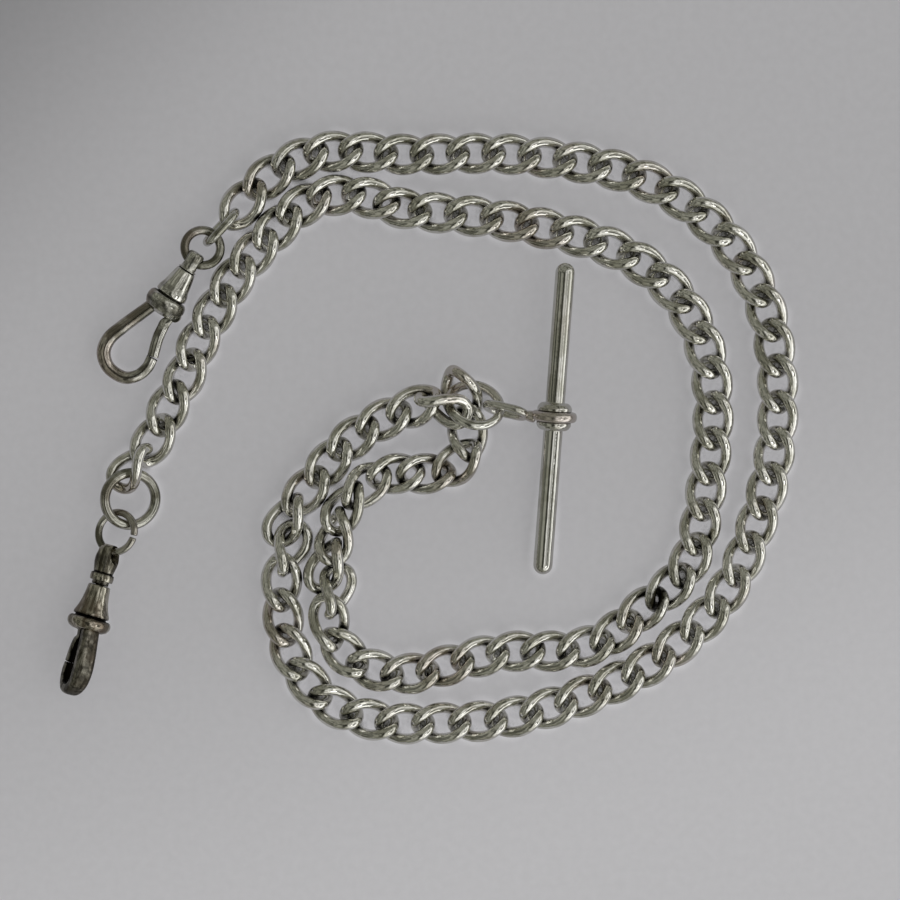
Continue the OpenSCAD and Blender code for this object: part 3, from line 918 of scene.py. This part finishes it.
# How brightly the board glows by itself: seen by the camera, and by the silver.
BOARD_SEEN = 0.72
BOARD_REFLECTED = 0.43
floor_mesh = bpy.data.meshes.new("board")
corners = [(x * BOARD_HALF, y * BOARD_HALF, 0) for x, y in [(-1, -1), (1, -1), (1, 1), (-1, 1)]]
floor_mesh.from_pydata(corners, [], [(0, 1, 2, 3)])
board = bpy.data.objects.new("board", floor_mesh)
bpy.context.scene.collection.objects.link(board)
board_material = bpy.data.materials.new("pale_board")
board_material.use_nodes = True
board_nodes = board_material.node_tree.nodes
bench = NodeBench(board_material.node_tree)
shader = board_nodes["Principled BSDF"].inputs
shader["Roughness"].default_value = 0.7
shader["Specular IOR Level"].default_value = 0.1
place = board_nodes.new("ShaderNodeTexCoord").outputs["Object"]

# The tone: painted light, lighter toward the lower right and dim at the far upper left, and finely
# mottled.
shade = bench.ranged(bench.along(place, (0.35, -0.94, 0)), 0, 0.06, 0.36, 0.435)
dim = bench.ranged(bench.along(place, (-0.7, 0.71, 0)), 0.04, 0.1, 1, 0.45)
mottle = bench.ranged(bench.noise(place, 900, 5), 0.3, 0.7, 0.98, 1.02, "LINEAR")
tone = bench.maths("MULTIPLY", bench.maths("MULTIPLY", shade, dim), mottle)
tint = board_nodes.new("ShaderNodeCombineColor")
for name, share in BOARD_TINT.items():
    bench.feed(tint.inputs[name], bench.maths("MULTIPLY", tone, share))

# Painted shadow: right under the silver the board is dark. Painted light: close round it the
# silver's light brightens it.
closed_in = board_nodes.new("ShaderNodeAmbientOcclusion")
closed_in.samples = 8
closed_in.inputs["Distance"].default_value = 1.6 * MM
openness = bench.ranged(closed_in.outputs["AO"], 0.28, 0.5)
painted_glow = bench.ranged(closed_in.outputs["AO"], 0.55, 0.92, 1.28, 1)
lit_board = board_nodes.new("ShaderNodeVectorMath")
lit_board.operation = "SCALE"
bench.feed(lit_board.inputs[0], tint.outputs["Color"])
bench.feed(lit_board.inputs["Scale"], painted_glow)
board_colour_and_painted_light = bench.mixed(openness, SHADOW_UNDER_SILVER, lit_board.outputs["Vector"])
bench.feed(shader["Base Color"], board_colour_and_painted_light)
bench.feed(shader["Emission Color"], board_colour_and_painted_light)
# The board's own glow is painted light, brighter as seen by the camera than by the silver.
to_camera = board_nodes.new("ShaderNodeLightPath").outputs["Is Camera Ray"]
strength = bench.ranged(to_camera, 0, 1, BOARD_REFLECTED, BOARD_SEEN, "LINEAR")
bench.feed(shader["Emission Strength"], strength)
board.data.materials.append(board_material)

world = bpy.data.worlds.new("studio")
bpy.context.scene.world = world
world.use_nodes = True
world_nodes = world.node_tree.nodes
bench = NodeBench(world.node_tree)
direction = world_nodes.new("ShaderNodeTexCoord").outputs["Generated"]
split = world_nodes.new("ShaderNodeSeparateXYZ")
bench.feed(split.inputs["Vector"], direction)
heading = split.outputs


def toward(way, low, high):
    """How far the view points this way: 0 below one cosine, 1 above the other."""
    return bench.ranged(bench.along(direction, Vector(way).normalized()), low, high)


def panel(middle, half, edge):
    """A soft edged rectangle overhead, placed on a level plane one metre up."""
    masks = []
    upward = bench.maths("MAXIMUM", heading["Z"], 0.05)
    for axis, at, reach in zip("XY", middle, half):
        across = bench.maths("DIVIDE", heading[axis], upward)
        off = bench.maths("ABSOLUTE", bench.maths("SUBTRACT", across, at))
        masks.append(bench.ranged(off, reach - edge, reach + edge, 1, 0))
    return bench.maths("MULTIPLY", *masks)


# The room is cluttered light and dark, and beside its middle the clutter is broken into bands.
clutter = bench.ranged(bench.noise(direction, 3.2, 4), 0.42, 0.6)
beside = bench.maths("ABSOLUTE", bench.maths("ADD", heading["Y"], 0.12))
bands = bench.ranged(bench.noise(direction, 7, 3), 0.47, 0.55)
bands = bench.maths("MULTIPLY", bands, bench.ranged(beside, 0.15, 0.3))
clutter = bench.maths("MULTIPLY", clutter, bench.maths("SUBTRACT", 1, bands))
clutter = bench.maths("ADD", clutter, bench.maths("MULTIPLY", bands, 0.75))
room = bench.mixed(clutter, (0.045, 0.046, 0.036, 1), (0.29, 0.29, 0.245, 1))
wall = bench.mixed(clutter, (0.3, 0.3, 0.27, 1), (1.2, 1.195, 1.15, 1))
# What is painted over it, in this order: a bright wall to the right, and light and dark panels.
for mask, colour in [
    (toward((0.8, -0.3, 0.52), 0.45, 0.8), wall),
    (toward((0.72, -0.6, 0.36), 0.9, 0.96), (1.3, 1.3, 1.27, 1)),
    (toward((0.5, -0.65, 0.56), 0.955, 0.985), (0.8, 0.8, 0.76, 1)),
    (panel((2.1, -0.35), (0.5, 0.25), 0.1), (0.45, 0.45, 0.41, 1)),
    (toward((0.763, -0.38, 0.54), 0.982, 0.992), (0.08, 0.08, 0.065, 1)),
    (panel((-0.12, -0.3), (0.2, 0.4), 0.1), (0.04, 0.04, 0.032, 1)),
    (panel((0.62, -0.16), (0.17, 0.42), 0.03), (0.52, 0.515, 0.495, 1)),
    (panel((0.66, -0.2), (0.03, 0.5), 0.02), (0.1, 0.1, 0.08, 1)),
    (panel((0.95, -0.55), (0.1, 0.36), 0.03), (0.07, 0.07, 0.055, 1)),
]:
    room = bench.mixed(mask, room, colour)
bench.feed(world_nodes["Background"].inputs["Color"], room)

lamp = bpy.data.lights.new("lamp", "AREA")
lamp.shape = "RECTANGLE"
lamp.size, lamp.size_y = 0.2, 0.1
lamp.energy = 0.14
lamp.color = (1, 1, 0.98)
lamp_object = bpy.data.objects.new("lamp", lamp)
lamp_object.location = (0.42, -0.32, 0.5)
lamp_object.rotation_euler = (-Vector(lamp_object.location)).to_track_quat("-Z", "Y").to_euler()
bpy.context.scene.collection.objects.link(lamp_object)

# The camera looks straight down. In millimetres: the view's middle and width, at half the
# lying links' height above the board, and how far above that the camera is.
VIEW_MIDDLE = (2.795, -1.625)
VIEW_WIDTH = 117.0
VIEW_HEIGHT = 1.7
CAMERA_HEIGHT = 460.0
camera = bpy.data.cameras.new("camera")
camera.sensor_width = 36
camera.lens = camera.sensor_width * CAMERA_HEIGHT / VIEW_WIDTH
camera.clip_start, camera.clip_end = 0.01, 10
camera_object = bpy.data.objects.new("camera", camera)
camera_object.location = [v * MM for v in (*VIEW_MIDDLE, CAMERA_HEIGHT + VIEW_HEIGHT)]
bpy.context.scene.collection.objects.link(camera_object)
bpy.context.scene.camera = camera_object
bpy.context.scene.view_settings.view_transform = "Standard"
